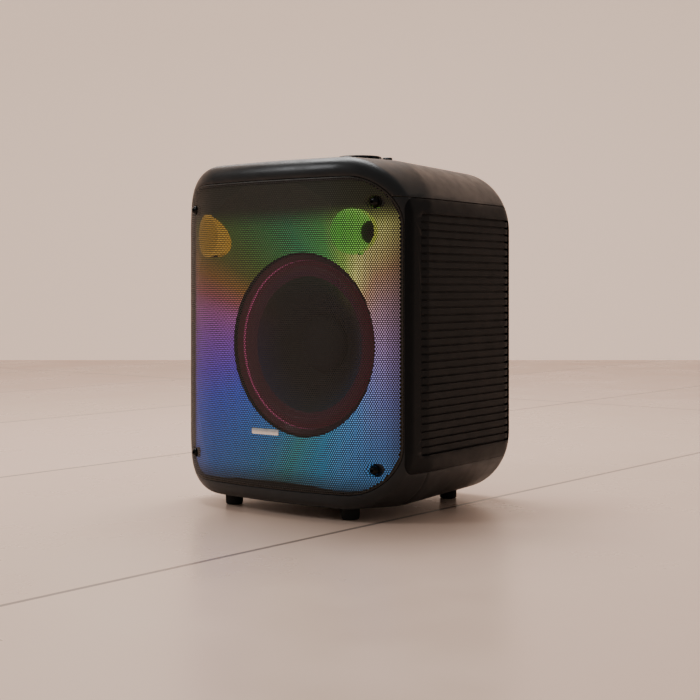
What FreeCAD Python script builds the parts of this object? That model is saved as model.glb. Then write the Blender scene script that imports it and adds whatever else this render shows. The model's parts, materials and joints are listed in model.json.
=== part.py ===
import FreeCAD, Part
import math
import os

# Party speaker: an upright cabinet with a barrel-curved grille, one woofer, two tweeters, a lit
# diffuser dish behind the grille, louvred side panels, a top cover with a control deck, and a rear
# panel with the sockets.  Millimetres, +X to the right of someone facing it, -Y front,
# +Z up.  The origin is on the floor under the middle of the object.

V = FreeCAD.Vector

# ---- cabinet outline --------------------------------------------------------------------------
HALF_W = 154.5            # half of the cabinet's width at the side creases, its widest place
BODY_Z0 = 8.8             # underside at the crease, one foot height above the floor
BODY_Z1 = 371.6           # top at the crease
REAR_Y = 133.0            # rear face
CORNER_R = 58.0           # corner radius at the crease, seen from the front
FRONT_CORNER_GROWTH = 0.16  # how fast it grows forward
REAR_CORNER_GROWTH = 0.06   # and rearward
REAR_EDGE_R = 26.0        # rounding of the rear edge
FRONT_EDGE_R = 15.0       # rounding of the front edge round the grille
WALL = 8.0                # cabinet wall
CREASE_SIDE_Y = -54.0     # where the tapered rear part leaves the front part, on the sides
CREASE_TOP_Y = -45.0      # the same, on the top and the underside
FRONT_SIDE_SLOPE = 0.030  # the front part narrows forward
FRONT_TOP_SLOPE = 0.003
FRONT_LOW_SLOPE = 0.057
SIDE_SLOPE = 0.057        # the rear part narrows rearward
TOP_SLOPE = 0.016
LOW_SLOPE = 0.003
PANEL_GAP = 0.3           # half of the dark line under the top cover
HAIRLINE = 0.08           # joint between parts that meet face to face
SPLIT_Z = 329.0           # parting line between cabinet and top cover

# ---- barrel curve of the front, seen from above -------------------------------------------------
CROWN_Y = -132.0          # foremost line of the grille; the badge stands 1 mm proud of it
BARREL_R1 = 500.0         # flat middle arc
BARREL_X1 = 80.0          # where the middle arc meets the side arcs
BARREL_R2 = 128.0         # side arcs of the grille
BODY_R2 = 134.0           # side arcs of the cabinet's front, which leave a lip beside the grille
BARREL_END = math.radians(58.0)
BODY_SET_BACK = 1.0       # the cabinet's front stands this far behind the grille

# ---- grille -----------------------------------------------------------------------------------
GRILLE_HALF_W = 148.0
GRILLE_Z0 = 29.0
GRILLE_Z1 = 350.0
GRILLE_R = 50.0
GRILLE_T = 1.2
GRILLE_FLANGE = 11.0      # how far the rolled edge goes back
GRILLE_GAP = 0.6          # groove between grille and cabinet
SCREW_X = 124.0
SCREW_ZS = (55.0, 324.0)
BADGE_PROUD = 1.0
BADGE_HALF_W = 18.5
BADGE_HALF_H = 3.0
BADGE_Z = 88.0
BADGE_PIN_X = 12.0
BADGE_PIN_R = 1.0
CUP_R = 6.1               # dimple round each grille screw
CUP_FLOOR_Y = -106.3
SCREW_HEAD_R = 4.75
SCREW_R = 2.0
FIT = 0.05                # clearance of a close fit

# ---- baffle and drivers -----------------------------------------------------------------------
BAFFLE_Y0 = -73.0
BAFFLE_Y1 = -63.0
WOOFER_Z = 176.5
WOOFER_HOLE_R = 99.0
TWEETER_X = 101.0
TWEETER_Z = 295.0
TWEETER_MOUTH_R = 22.0
TWEETER_HOLE_R = 17.5
TWEETER_SCREW_R = 26.0     # the three screws stand on this circle
DISH_SLOPE = 0.7          # the lit dish comes forward this much per millimetre of radius
DISH_SET_BACK = 5.0
DISH_T = 2.2
DISH_HALF_W = 144.4

# ---- side panels ------------------------------------------------------------------------------
PANEL_Y0 = -90.5
PANEL_Y1 = 124.0
PANEL_Z0 = 50.0
PANEL_Z1 = 328.4
PANEL_R = 12.0
PANEL_T = 5.0
PANEL_GROOVE = 0.3        # shadow line round the panel
SLAT_FIELD_Y0 = -69.0
SLAT_FIELD_Y1 = 118.0
SLAT_Z0 = 67.5
SLAT_PITCH = 7.85
SLAT_COUNT = 31
SLAT_GAP = 2.3
SLAT_END_GAP = 2.0        # channel in front of the slats' front ends
SLAT_SET_BACK = 1.4       # slat faces below the panel's border
SLAT_DEPTH = 4.0          # bottom of the gaps below the panel's border

# ---- rear -------------------------------------------------------------------------------------
REAR_HALF_W = 112.0
REAR_Z0 = 46.0
REAR_Z1 = 318.0
REAR_R = 20.0
REAR_T = 4.0
REAR_LEDGE = 7.0
PORT_Z = 268.0
PORT_R = 28.0
PORT_Y0 = 44.0
IO_HALF_W = 74.0
IO_Z0 = 78.0
IO_Z1 = 138.0
IO_T = 3.0
VENT_COUNT = 11
VENT_PITCH = 9.0
VENT_HALF_W = 2.2
VENT_Z0 = 156.0
VENT_Z1 = 206.0

# ---- top controls -----------------------------------------------------------------------------
DECK_Y = 29.0
DECK_R = 49.7
DECK_TOP = 379.0
DECK_BOTTOM = 356.2
DECK_T = 3.0
BUTTON_RING_R = 39.0
BUTTON_R = 5.7
BUTTON_TOP = 383.4
KNOB_R = 25.0
KNOB_Z0 = 380.0
KNOB_Z1 = 386.5
SHAFT_R = 3.0

FAR = 200.0               # beyond every face of the object
TALL = 400.0


# ---- helpers ----------------------------------------------------------------------------------
def box(x0, x1, y0, y1, z0, z1):
    return Part.makeBox(x1 - x0, y1 - y0, z1 - z0, V(x0, y0, z0))


def cyl_y(x, z, r, y0, y1):
    """Cylinder along Y between y0 and y1."""
    return Part.makeCylinder(r, y1 - y0, V(x, y0, z), V(0, 1, 0))


def cyl_z(x, y, r, z0, z1):
    return Part.makeCylinder(r, z1 - z0, V(x, y, z0), V(0, 0, 1))


def ring_y(x, z, r_in, r_out, y0, y1):
    return cyl_y(x, z, r_out, y0, y1).cut(cyl_y(x, z, r_in, y0 - 1, y1 + 1))


def revolve_y(x, z, points):
    """Turn a closed outline of (radius, y) points about the line through (x, z) along Y."""
    pts = [V(x + r, y, z) for r, y in points]
    face = Part.Face(Part.makePolygon(pts + [pts[0]]))
    return face.revolve(V(x, 0, z), V(0, 1, 0), 360)


def revolve_z(x, y, points):
    """Turn a closed outline of (radius, z) points about the upright line through (x, y)."""
    pts = [V(x + r, y, z) for r, z in points]
    face = Part.Face(Part.makePolygon(pts + [pts[0]]))
    return face.revolve(V(x, y, 0), V(0, 0, 1), 360)


def rounded_wire(half_w, z0, z1, r, y):
    """Rounded rectangle, centred on X, in the plane Y = y."""
    k = r * (1 - math.sqrt(0.5))
    p = [V(-half_w + r, y, z0), V(half_w - r, y, z0), V(half_w, y, z0 + r), V(half_w, y, z1 - r),
         V(half_w - r, y, z1), V(-half_w + r, y, z1), V(-half_w, y, z1 - r), V(-half_w, y, z0 + r)]
    mid = [V(half_w - k, y, z0 + k), V(half_w - k, y, z1 - k),
           V(-half_w + k, y, z1 - k), V(-half_w + k, y, z0 + k)]
    edges = []
    for i in range(4):
        a, b, c = p[2 * i], p[2 * i + 1], p[(2 * i + 2) % 8]
        edges.append(Part.LineSegment(a, b).toShape())
        edges.append(Part.Arc(b, mid[i], c).toShape())
    return Part.Wire(edges)


def rounded_prism(half_w, z0, z1, r, y0, y1):
    return Part.Face(rounded_wire(half_w, z0, z1, r, y0)).extrude(V(0, y1 - y0, 0))


def side_prism(y0, y1, z0, z1, r, x0, x1):
    """Rounded rectangle seen from the side, running along X."""
    half = (y1 - y0) / 2
    prism = rounded_prism(half, z0, z1, r, x0, x1)
    prism.rotate(V(0, 0, 0), V(0, 0, 1), -90)
    prism.translate(V(0, (y0 + y1) / 2, 0))
    return prism


def group(solids):
    return Part.makeCompound(solids)


def join(shapes):
    return shapes[0].multiFuse(shapes[1:]).removeSplitter()


# ---- basic volumes ----------------------------------------------------------------------------
def barrel(inset, side_r=BARREL_R2):
    """Everything behind the barrel curve, moved back by inset, as an upright prism."""
    a1 = math.asin(BARREL_X1 / BARREL_R1)
    c1 = V(0, CROWN_Y + BARREL_R1, -10)
    c2x = BARREL_X1 - side_r * math.sin(a1)
    c2y = CROWN_Y + BARREL_R1 - (BARREL_R1 - side_r) * math.cos(a1)
    r1 = BARREL_R1 - inset
    r2 = side_r - inset
    a_mid = (a1 + BARREL_END) / 2

    def on_side(a, sign):
        return V(sign * (c2x + r2 * math.sin(a)), c2y - r2 * math.cos(a), -10)

    left, right = on_side(a1, -1), on_side(a1, 1)
    end_l, end_r = on_side(BARREL_END, -1), on_side(BARREL_END, 1)
    back_l, back_r = V(end_l.x, FAR, -10), V(end_r.x, FAR, -10)
    edges = [Part.Arc(left, c1 - V(0, r1, 0), right).toShape(),
             Part.Arc(right, on_side(a_mid, 1), end_r).toShape(),
             Part.LineSegment(end_r, back_r).toShape(),
             Part.LineSegment(back_r, back_l).toShape(),
             Part.LineSegment(back_l, end_l).toShape(),
             Part.Arc(end_l, on_side(a_mid, -1), left).toShape()]
    return Part.Face(Part.Wire(edges)).extrude(V(0, 0, TALL + 20))


def taper(toward, slopes, r, growth, inset):
    """Block that narrows from the creases toward one end, and widens on past them the other way."""
    side, top, low = slopes
    ends = []
    for y in (-FAR, REAR_Y - inset):
        past_side = (y - CREASE_SIDE_Y) * toward
        past_top = (y - CREASE_TOP_Y) * toward
        ends.append(rounded_wire(HALF_W - past_side * side - inset, BODY_Z0 + past_top * low + inset,
                                 BODY_Z1 - past_top * top - inset, r + past_top * growth - inset, y))
    return Part.makeLoft(ends, True, True)


def body(inset, front_inset=None):
    """The cabinet's outer form, shrunk by inset on every side, or by front_inset at the front."""
    front = taper(-1, (FRONT_SIDE_SLOPE, FRONT_TOP_SLOPE, FRONT_LOW_SLOPE), CORNER_R, FRONT_CORNER_GROWTH,
                  inset)
    rear = taper(1, (SIDE_SLOPE, TOP_SLOPE, LOW_SLOPE), CORNER_R, REAR_CORNER_GROWTH, inset)
    block = front.common(rear)
    edges = [e for e in block.Edges if e.BoundBox.YMin > REAR_Y - inset - 0.01]
    block = block.makeFillet(REAR_EDGE_R - inset, edges)
    ahead = inset if front_inset is None else front_inset
    return block.common(barrel(BODY_SET_BACK + ahead, BODY_R2))


def grille_prism(grow, y0, y1):
    return rounded_prism(GRILLE_HALF_W + grow, GRILLE_Z0 - grow, GRILLE_Z1 + grow, GRILLE_R + grow, y0, y1)


OUTER = body(0)
CAVITY = body(WALL)
SEAT_Y = -78.0                      # the grille's side edges stop on this ledge


def soften_front(block):
    """Round the cabinet's front edge, all the way round the grille."""
    loop = []
    for e in block.Edges:
        b = e.BoundBox
        upright_seam = b.XLength < 0.01 and b.XMax * b.XMax < CORNER_R * CORNER_R * 4
        if b.YMax < CREASE_SIDE_Y - 20 and not upright_seam:
            loop.append(e)
    return block.makeFillet(FRONT_EDGE_R, loop)


SOFT = soften_front(OUTER)
SHELL = SOFT.cut(CAVITY)
BEHIND_CREASE = box(-FAR, FAR, CREASE_SIDE_Y, FAR, -10, TALL)
BEFORE_CREASE = box(-FAR, FAR, -FAR, CREASE_SIDE_Y - HAIRLINE, -10, TALL)
BELOW_SPLIT = box(-FAR, FAR, -FAR, FAR, -10, SPLIT_Z - PANEL_GAP)
ABOVE_SPLIT = box(-FAR, FAR, -FAR, FAR, SPLIT_Z + PANEL_GAP, TALL)
GRILLE_WELL = grille_prism(GRILLE_GAP, -FAR, SEAT_Y)
SCREW_PLACES = [(x, z) for x in (-SCREW_X, SCREW_X) for z in SCREW_ZS]
FOOT_PLACES = [(x, y) for x in (-81.0, 81.0) for y in (-92.0, 88.0)]
FOOT_R = 9.3
FOOT_HOLE_R = 4.6
FOOT_SCREW_R = 2.0
FOOT_SCREW_TOP = 19.0
REAR_SCREW_R = 1.5


def rear_screw_places():
    inset = REAR_LEDGE / 2
    x = REAR_HALF_W - inset
    rows = [REAR_Z0 + REAR_R, (REAR_Z0 + REAR_Z1) / 2, REAR_Z1 - REAR_R]
    places = [(sx * x, z) for sx in (-1, 1) for z in rows]
    for px in (-55.0, 55.0):
        places += [(px, REAR_Z0 + inset), (px, REAR_Z1 - inset)]
    return places


def panel_pocket(side, grow, depth):
    """The recess of one side panel, cut into the cabinet's own side surface."""
    x0, x1 = (HALF_W - 40, FAR) if side > 0 else (-FAR, 40 - HALF_W)
    outline = side_prism(PANEL_Y0 - grow, PANEL_Y1 + grow, PANEL_Z0 - grow, PANEL_Z1 + grow,
                         PANEL_R + grow, x0, x1)
    return OUTER.cut(body(depth, 0.0)).common(outline)


POCKETS = [panel_pocket(side, PANEL_GROOVE, PANEL_T) for side in (-1, 1)]


# ---- cabinet ----------------------------------------------------------------------------------
def cabinet_shell():
    shell = SHELL.common(BEHIND_CREASE).common(BELOW_SPLIT)
    opening = rounded_prism(REAR_HALF_W - REAR_LEDGE, REAR_Z0 + REAR_LEDGE, REAR_Z1 - REAR_LEDGE,
                            REAR_R - REAR_LEDGE, REAR_Y - 2 * WALL, FAR)
    rebate = rounded_prism(REAR_HALF_W + 0.3, REAR_Z0 - 0.3, REAR_Z1 + 0.3, REAR_R + 0.3,
                           REAR_Y - REAR_T, FAR)
    tools = POCKETS + [opening, rebate]
    tools += [cyl_y(x, z, REAR_SCREW_R + FIT, REAR_Y - 2 * WALL, REAR_Y) for x, z in rear_screw_places()]
    tools += [cyl_z(x, y, FOOT_SCREW_R + FIT, 0, BODY_Z0 + 20) for x, y in FOOT_PLACES if y > 0]
    return shell.cut(tools)


def front_bezel():
    bezel = SHELL.common(BEFORE_CREASE).common(BELOW_SPLIT)
    tools = POCKETS + [GRILLE_WELL]
    tools += [cyl_z(x, y, FOOT_SCREW_R + FIT, 0, BODY_Z0 + 20) for x, y in FOOT_PLACES if y < 0]
    return bezel.cut(tools)


def top_cover():
    cover = SHELL.common(ABOVE_SPLIT)
    tongue = CAVITY.cut(body(WALL + 2.5)).common(box(-FAR, FAR, BAFFLE_Y1 + 2, REAR_Y - WALL - 20,
                                                     SPLIT_Z - 8, SPLIT_Z + 10))
    cover = join([cover, tongue])
    return cover.cut([GRILLE_WELL, cyl_z(0, DECK_Y, DECK_R + 0.3, DECK_BOTTOM - 5, BODY_Z1 + 5)])


def plan_prism(inset):
    """The tapered side and its rear rounding, as an upright prism, shrunk by inset."""
    tilt = math.atan(SIDE_SLOPE)
    cy = REAR_Y - REAR_EDGE_R
    cx = HALF_W - (cy - CREASE_SIDE_Y) * SIDE_SLOPE - REAR_EDGE_R / math.cos(tilt)
    r = REAR_EDGE_R - inset

    def on_arc(a):
        return V(cx + r * math.cos(a), cy + r * math.sin(a), 0)

    start = on_arc(tilt)
    crease = V(HALF_W - inset, CREASE_SIDE_Y, 0)
    ahead = V(crease.x - FAR * FRONT_SIDE_SLOPE, crease.y - FAR, 0)
    top = on_arc(math.pi / 2)
    edges = [Part.LineSegment(ahead, crease).toShape(),
             Part.LineSegment(crease, start).toShape(),
             Part.Arc(start, on_arc((tilt + math.pi / 2) / 2), top).toShape(),
             Part.LineSegment(top, V(0, top.y, 0)).toShape(),
             Part.LineSegment(V(0, top.y, 0), V(0, ahead.y, 0)).toShape(),
             Part.LineSegment(V(0, ahead.y, 0), ahead).toShape()]
    return Part.Face(Part.Wire(edges)).extrude(V(0, 0, TALL))


def side_panel_right():
    """A shallow tray on the cabinet's side with a field of level slats."""
    x0 = HALF_W - 60
    outline = side_prism(PANEL_Y0, PANEL_Y1, PANEL_Z0, PANEL_Z1, PANEL_R, x0, FAR)
    tray = SOFT.cut(body(PANEL_T, 0.0)).common(outline).cut(GRILLE_WELL)
    top = SLAT_Z0 + SLAT_COUNT * SLAT_PITCH + SLAT_GAP
    field = side_prism(SLAT_FIELD_Y0, SLAT_FIELD_Y1, SLAT_Z0, top, 4.0, x0, FAR)
    tray = tray.cut(field.cut(plan_prism(SLAT_SET_BACK)))
    gap = box(x0, FAR, SLAT_FIELD_Y0, SLAT_FIELD_Y1, SLAT_Z0, SLAT_Z0 + SLAT_GAP).cut(plan_prism(SLAT_DEPTH))
    comb = []
    for i in range(SLAT_COUNT + 1):
        tooth = gap.copy()
        tooth.translate(V(0, 0, i * SLAT_PITCH))
        comb.append(tooth)
    channel = box(x0, FAR, SLAT_FIELD_Y0, SLAT_FIELD_Y0 + SLAT_END_GAP, SLAT_Z0, top)
    channel = channel.cut(plan_prism(SLAT_DEPTH))
    return tray.cut(group(comb).common(field)).cut(channel.common(field))


def mirrored(shape):
    return shape.mirror(V(0, 0, 0), V(1, 0, 0))


def rear_panel():
    panel = rounded_prism(REAR_HALF_W, REAR_Z0, REAR_Z1, REAR_R, REAR_Y - REAR_T, REAR_Y)
    tools = [cyl_y(0, PORT_Z, PORT_R, REAR_Y - 10, FAR)]
    tools.append(rounded_prism(IO_HALF_W + 0.2, IO_Z0 - 0.2, IO_Z1 + 0.2, 6.2, REAR_Y - 10, FAR))
    for i in range(VENT_COUNT):
        slot = rounded_prism(VENT_HALF_W, VENT_Z0, VENT_Z1, VENT_HALF_W - 0.1, REAR_Y - 10, FAR)
        slot.translate(V((i - (VENT_COUNT - 1) / 2) * VENT_PITCH, 0, 0))
        tools.append(slot)
    for x, z in rear_screw_places():
        tools.append(cyl_y(x, z, REAR_SCREW_R + FIT, REAR_Y - 10, FAR))
        tools.append(cyl_y(x, z, 3.0, REAR_Y - 1.8, FAR))
    return panel.cut(tools)


def rear_screws():
    screws = []
    for x, z in rear_screw_places():
        shank = cyl_y(x, z, REAR_SCREW_R, REAR_Y - 11, REAR_Y - 1.8)
        head = cyl_y(x, z, 2.8, REAR_Y - 1.8, REAR_Y - 0.2)
        drive = cyl_y(x, z, 1.1, REAR_Y - 1.2, REAR_Y)
        screws.append(shank.fuse(head).cut(drive))
    return group(screws)


def rubber_feet():
    feet = []
    for x, y in FOOT_PLACES:
        foot = revolve_z(x, y, [(0, 0), (FOOT_R - 1.2, 0), (FOOT_R, 1.2), (FOOT_R + 1.0, 20), (0, 20)])
        recess = cyl_z(x, y, FOOT_HOLE_R, -1, 3.2)
        bore = cyl_z(x, y, FOOT_SCREW_R + FIT, 0, 25)
        feet.append(foot.cut([SOFT, recess, bore]))
    return group(feet)


def foot_screws():
    screws = []
    for x, y in FOOT_PLACES:
        head = cyl_z(x, y, 4.2, 1.4, 3.2)
        shank = cyl_z(x, y, FOOT_SCREW_R, 3.2, FOOT_SCREW_TOP)
        screws.append(head.fuse(shank).cut(cyl_z(x, y, 1.4, 0, 2.4)))
    return group(screws)


# ---- grille -----------------------------------------------------------------------------------
def grille():
    sheet = barrel(0).cut(barrel(GRILLE_T)).common(grille_prism(0, -FAR, 0))
    rim = grille_prism(0, -FAR, 0).cut(grille_prism(-GRILLE_T, -FAR, 0))
    rim = rim.common(barrel(0).cut(barrel(GRILLE_FLANGE))).common(box(-FAR, FAR, -FAR, SEAT_Y, -10, TALL))
    skin = barrel(0)
    cups = []
    holes = []
    for x, z in SCREW_PLACES:
        cup = cyl_y(x, z, CUP_R, -FAR, CUP_FLOOR_Y + GRILLE_T)
        cups.append(cup.cut(cyl_y(x, z, CUP_R - GRILLE_T, -FAR, CUP_FLOOR_Y)).common(skin))
        holes.append(cyl_y(x, z, CUP_R - GRILLE_T, -FAR, CUP_FLOOR_Y))
        holes.append(cyl_y(x, z, SCREW_R + FIT, -FAR, 0))
    holes += [cyl_y(s * BADGE_PIN_X, BADGE_Z, BADGE_PIN_R + FIT, -FAR, 0) for s in (-1, 1)]
    return sheet.multiFuse([rim] + cups).cut(holes)


def grille_screws():
    screws = []
    for x, z in SCREW_PLACES:
        y = CUP_FLOOR_Y
        head = revolve_y(x, z, [(0, y), (SCREW_HEAD_R, y), (SCREW_HEAD_R, y - 2.4), (4.4, y - 3.6),
                                (3.8, y - 4.6), (2.8, y - 5.5), (1.6, y - 5.9), (0, y - 6.0)])
        shank = cyl_y(x, z, SCREW_R, y, y + 16)
        screws.append(head.fuse(shank).cut(cyl_y(x, z, 1.5, y - 7, y - 4)))
    return group(screws)


def badge():
    """A plain bar with two pins through the grille."""
    bar = rounded_prism(BADGE_HALF_W, BADGE_Z - BADGE_HALF_H, BADGE_Z + BADGE_HALF_H, 1.2, -FAR, 0)
    plate = bar.common(barrel(-BADGE_PROUD).cut(barrel(0)))
    pins = [cyl_y(s * BADGE_PIN_X, BADGE_Z, BADGE_PIN_R, CROWN_Y - 0.4, CROWN_Y + 4) for s in (-1, 1)]
    return plate.multiFuse(pins)


# ---- baffle, dish and lights ------------------------------------------------------------------
WOOFER_SCREW_R = 105.5
WOOFER_SCREWS = 8
LED_RING_R = 112.5
LED_COUNT = 24
POST_R = 5.5


def ring_places(count, r, start=0.0):
    return [(r * math.cos(math.radians(start + 360.0 * i / count)),
             r * math.sin(math.radians(start + 360.0 * i / count))) for i in range(count)]


def tweeter_screw_places():
    return ring_places(3, TWEETER_SCREW_R, 90.0)


def front_baffle():
    plate = CAVITY.common(box(-FAR, FAR, BAFFLE_Y0, BAFFLE_Y1, -10, TALL))
    behind = barrel(GRILLE_T + 0.1)
    posts = [cyl_y(x, z, POST_R, CUP_FLOOR_Y + GRILLE_T, BAFFLE_Y0).common(behind) for x, z in SCREW_PLACES]
    tools = [cyl_y(0, WOOFER_Z, WOOFER_HOLE_R, -FAR, 0)]
    tools += [cyl_y(s * TWEETER_X, TWEETER_Z, TWEETER_HOLE_R, -FAR, 0) for s in (-1, 1)]
    tools += [cyl_y(x, z, SCREW_R + FIT, CUP_FLOOR_Y, CUP_FLOOR_Y + 18) for x, z in SCREW_PLACES]
    for x, z in ring_places(WOOFER_SCREWS, WOOFER_SCREW_R, 22.5):
        tools.append(cyl_y(x, z + WOOFER_Z, SCREW_R + FIT, BAFFLE_Y1 - 6, BAFFLE_Y1))
    for s in (-1, 1):
        for x, z in tweeter_screw_places():
            tools.append(cyl_y(s * TWEETER_X + x, TWEETER_Z + z, REAR_SCREW_R + FIT,
                               BAFFLE_Y0, BAFFLE_Y0 + 7))
    return plate.multiFuse(posts).cut(tools)


def dish_block(shift):
    """Everything behind the lit dish's front surface, moved back by shift."""
    near = BAFFLE_Y0 - 1.5
    reach = 75.0
    rim = WOOFER_HOLE_R + 0.5
    cone = revolve_y(0, WOOFER_Z, [(0, near), (rim, near), (rim + reach / DISH_SLOPE, near - reach),
                                   (0, near - reach)])
    block = barrel(DISH_SET_BACK).cut(cone)
    block.translate(V(0, shift, 0))
    return block


def light_diffuser():
    """Milky dish between the woofer's opening and the grille's edge, lit from behind."""
    edge = GRILLE_HALF_W - DISH_HALF_W
    outline = grille_prism(-edge, -FAR, BAFFLE_Y0)
    dish = dish_block(0).cut(dish_block(DISH_T)).common(outline)
    wall = outline.cut(grille_prism(-edge - 2.0, -FAR, FAR)).common(dish_block(0))
    tools = [cyl_y(0, WOOFER_Z, WOOFER_HOLE_R + 0.5, -FAR, 0)]
    tools += [cyl_y(s * TWEETER_X, TWEETER_Z, TWEETER_MOUTH_R + 1.9, -FAR, 0) for s in (-1, 1)]
    tools += [cyl_y(x, z, CUP_R + 0.6, -FAR, 0) for x, z in SCREW_PLACES]
    return dish.fuse(wall).cut(tools)


def led_board():
    """Ring-shaped circuit board with the coloured lights, behind the dish."""
    board = ring_y(0, WOOFER_Z, 105.0, 120.0, BAFFLE_Y0 - 1.6, BAFFLE_Y0)
    lights = []
    for i in range(LED_COUNT):
        light = box(LED_RING_R - 2.5, LED_RING_R + 2.5, BAFFLE_Y0 - 3.2, BAFFLE_Y0 - 1.6, -2.5, 2.5)
        light.rotate(V(0, 0, 0), V(0, 1, 0), 360.0 * i / LED_COUNT)
        light.translate(V(0, 0, WOOFER_Z))
        lights.append(light)
    return board.multiFuse(lights)


# ---- woofer -----------------------------------------------------------------------------------
FLANGE_T = 4.0
FLANGE_Y1 = BAFFLE_Y1 + FLANGE_T
SURROUND_OUT_R = 91.0
SURROUND_IN_R = 77.0
SPIDER_R = 50.0
COIL_R = 19.0
PLATE_Y0 = 2.0
MAGNET_Y0 = 8.0
MAGNET_Y1 = 26.0
BACK_Y1 = 33.0
POLE_R = 18.5
MAGNET_R = 55.0


def woofer_basket():
    y0, y1 = BAFFLE_Y1, FLANGE_Y1
    profile = [(SURROUND_OUT_R, y0), (111.0, y0), (111.0, y1), (98.0, y1), (62.0, PLATE_Y0 - 4),
               (62.0, PLATE_Y0), (24.0, PLATE_Y0), (24.0, PLATE_Y0 - 3), (58.5, PLATE_Y0 - 3),
               (94.5, y1), (SURROUND_OUT_R, y1)]
    basket = revolve_y(0, WOOFER_Z, profile)
    windows = []
    for i in range(6):
        window = box(66, 92, y1 + 5, PLATE_Y0 - 7, -24, 24)
        window.rotate(V(0, 0, 0), V(0, 1, 0), 60.0 * i)
        window.translate(V(0, 0, WOOFER_Z))
        windows.append(window)
    ledge = ring_y(0, WOOFER_Z, SPIDER_R, 54.0, -12.8, PLATE_Y0 - 3)
    holes = [cyl_y(x, z + WOOFER_Z, SCREW_R + FIT, y0 - 1, y1 + 1)
             for x, z in ring_places(WOOFER_SCREWS, WOOFER_SCREW_R, 22.5)]
    return basket.cut(windows).fuse(ledge).cut(holes)


def woofer_screws():
    screws = []
    for x, z in ring_places(WOOFER_SCREWS, WOOFER_SCREW_R, 22.5):
        shank = cyl_y(x, z + WOOFER_Z, SCREW_R, BAFFLE_Y1 - 5, FLANGE_Y1)
        head = cyl_y(x, z + WOOFER_Z, 4.0, FLANGE_Y1, FLANGE_Y1 + 2.6)
        screws.append(shank.fuse(head).cut(cyl_y(x, z + WOOFER_Z, 1.5, FLANGE_Y1 + 1.2, FLANGE_Y1 + 3)))
    return group(screws)


def woofer_trim_ring():
    """Clear ring round the surround that carries the light to the woofer's edge."""
    y = BAFFLE_Y1
    return revolve_y(0, WOOFER_Z, [(SURROUND_OUT_R, y), (98.8, y), (98.8, y - 5.0), (97.0, y - 6.0),
                                   (94.0, y - 4.0), (SURROUND_OUT_R, y - 2.2)])


def arc_band(r0, r1, y, rise, t, steps):
    """Outline of a half-round roll between two radii, bulging forward."""
    mid, half = (r0 + r1) / 2, (r1 - r0) / 2
    front, back = [], []
    for i in range(steps + 1):
        a = math.pi * i / steps
        front.append((mid - half * math.cos(a), y - t - rise * math.sin(a)))
        back.append((mid - half * math.cos(a), y - (rise - t) * math.sin(a)))
    return front + back[::-1]


def woofer_surround():
    outline = arc_band(SURROUND_IN_R - 1.7, SURROUND_OUT_R, BAFFLE_Y1 + 1.5, 6.5, 1.0, 12)
    return revolve_y(0, WOOFER_Z, outline)


def woofer_spider():
    """Corrugated disc that centres the coil."""
    front, back = [], []
    steps = 30
    for i in range(steps + 1):
        r = COIL_R + 1.8 + (52.5 - COIL_R - 1.8) * i / steps
        y = -14.4 - 1.3 * math.sin(2 * math.pi * i / 6.0)
        front.append((r, y - 0.3))
        back.append((r, y + 0.3))
    return revolve_y(0, WOOFER_Z, front + back[::-1])


def woofer_cone():
    y = BAFFLE_Y1 + 0.2
    rim, neck = SURROUND_IN_R - 2.0, COIL_R + 1.4
    outline = [(rim, y + 0.4), (rim - 3.5, y + 1.8), (50.0, y + 18.0), (neck, y + 37.0),
               (neck, y + 39.0), (50.5, y + 19.6), (rim - 3.0, y + 3.4), (rim, y + 1.9)]
    return revolve_y(0, WOOFER_Z, outline)


def dome_points(r, rise, y, degrees):
    """Points along a dome that bulges forward from radius r at y."""
    return [(r * math.cos(math.radians(a)), y - rise * math.sin(math.radians(a))) for a in degrees]


def woofer_dust_cap():
    y = BAFFLE_Y1 + 29.8
    front = dome_points(32.0, 11.0, y, range(0, 91, 10))
    back = dome_points(31.0, 10.0, y, range(90, -1, -10))
    return revolve_y(0, WOOFER_Z, front[:-1] + [(0, y - 11.0), (0, y - 10.0)] + back[1:])


def voice_coil():
    former = ring_y(0, WOOFER_Z, COIL_R, COIL_R + 0.6, BAFFLE_Y1 + 34, 13.0)
    winding = ring_y(0, WOOFER_Z, COIL_R + 0.6, COIL_R + 1.3, -1.0, 11.0)
    collar = ring_y(0, WOOFER_Z, COIL_R + 0.6, COIL_R + 1.4, BAFFLE_Y1 + 37, -16.6)
    return former.multiFuse([winding, collar])


def woofer_top_plate():
    return ring_y(0, WOOFER_Z, COIL_R + 2.0, SPIDER_R + 2, PLATE_Y0, MAGNET_Y0)


def woofer_magnet():
    return ring_y(0, WOOFER_Z, 27.0, MAGNET_R, MAGNET_Y0, MAGNET_Y1)


def woofer_yoke():
    """Back plate with the pole piece."""
    plate = cyl_y(0, WOOFER_Z, SPIDER_R + 2, MAGNET_Y1, BACK_Y1)
    pole = cyl_y(0, WOOFER_Z, POLE_R, PLATE_Y0, MAGNET_Y1)
    vent = cyl_y(0, WOOFER_Z, 6.0, 0, 40)
    return plate.fuse(pole).cut(vent)


# ---- tweeters ---------------------------------------------------------------------------------
def tweeter_housing(side):
    x = side * TWEETER_X
    y0 = BAFFLE_Y0
    mouth = TWEETER_MOUTH_R
    horn = [(mouth, -128.0), (mouth, -114.0), (20.4, -104.0), (16.5, -95.0), (12.0, -88.5), (12.0, -84.0),
            (16.6, -84.0), (16.6, y0), (30.0, y0), (30.0, y0 - 3), (18.2, y0 - 3), (18.2, -88.0),
            (21.9, -103.0), (mouth + 1.4, -113.0), (mouth + 1.4, -128.0)]
    housing = revolve_y(x, TWEETER_Z, horn).common(barrel(DISH_SET_BACK))
    holes = [cyl_y(x + sx, TWEETER_Z + sz, REAR_SCREW_R + FIT, y0 - 7, 0)
             for sx, sz in tweeter_screw_places()]
    return housing.cut(holes)


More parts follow.
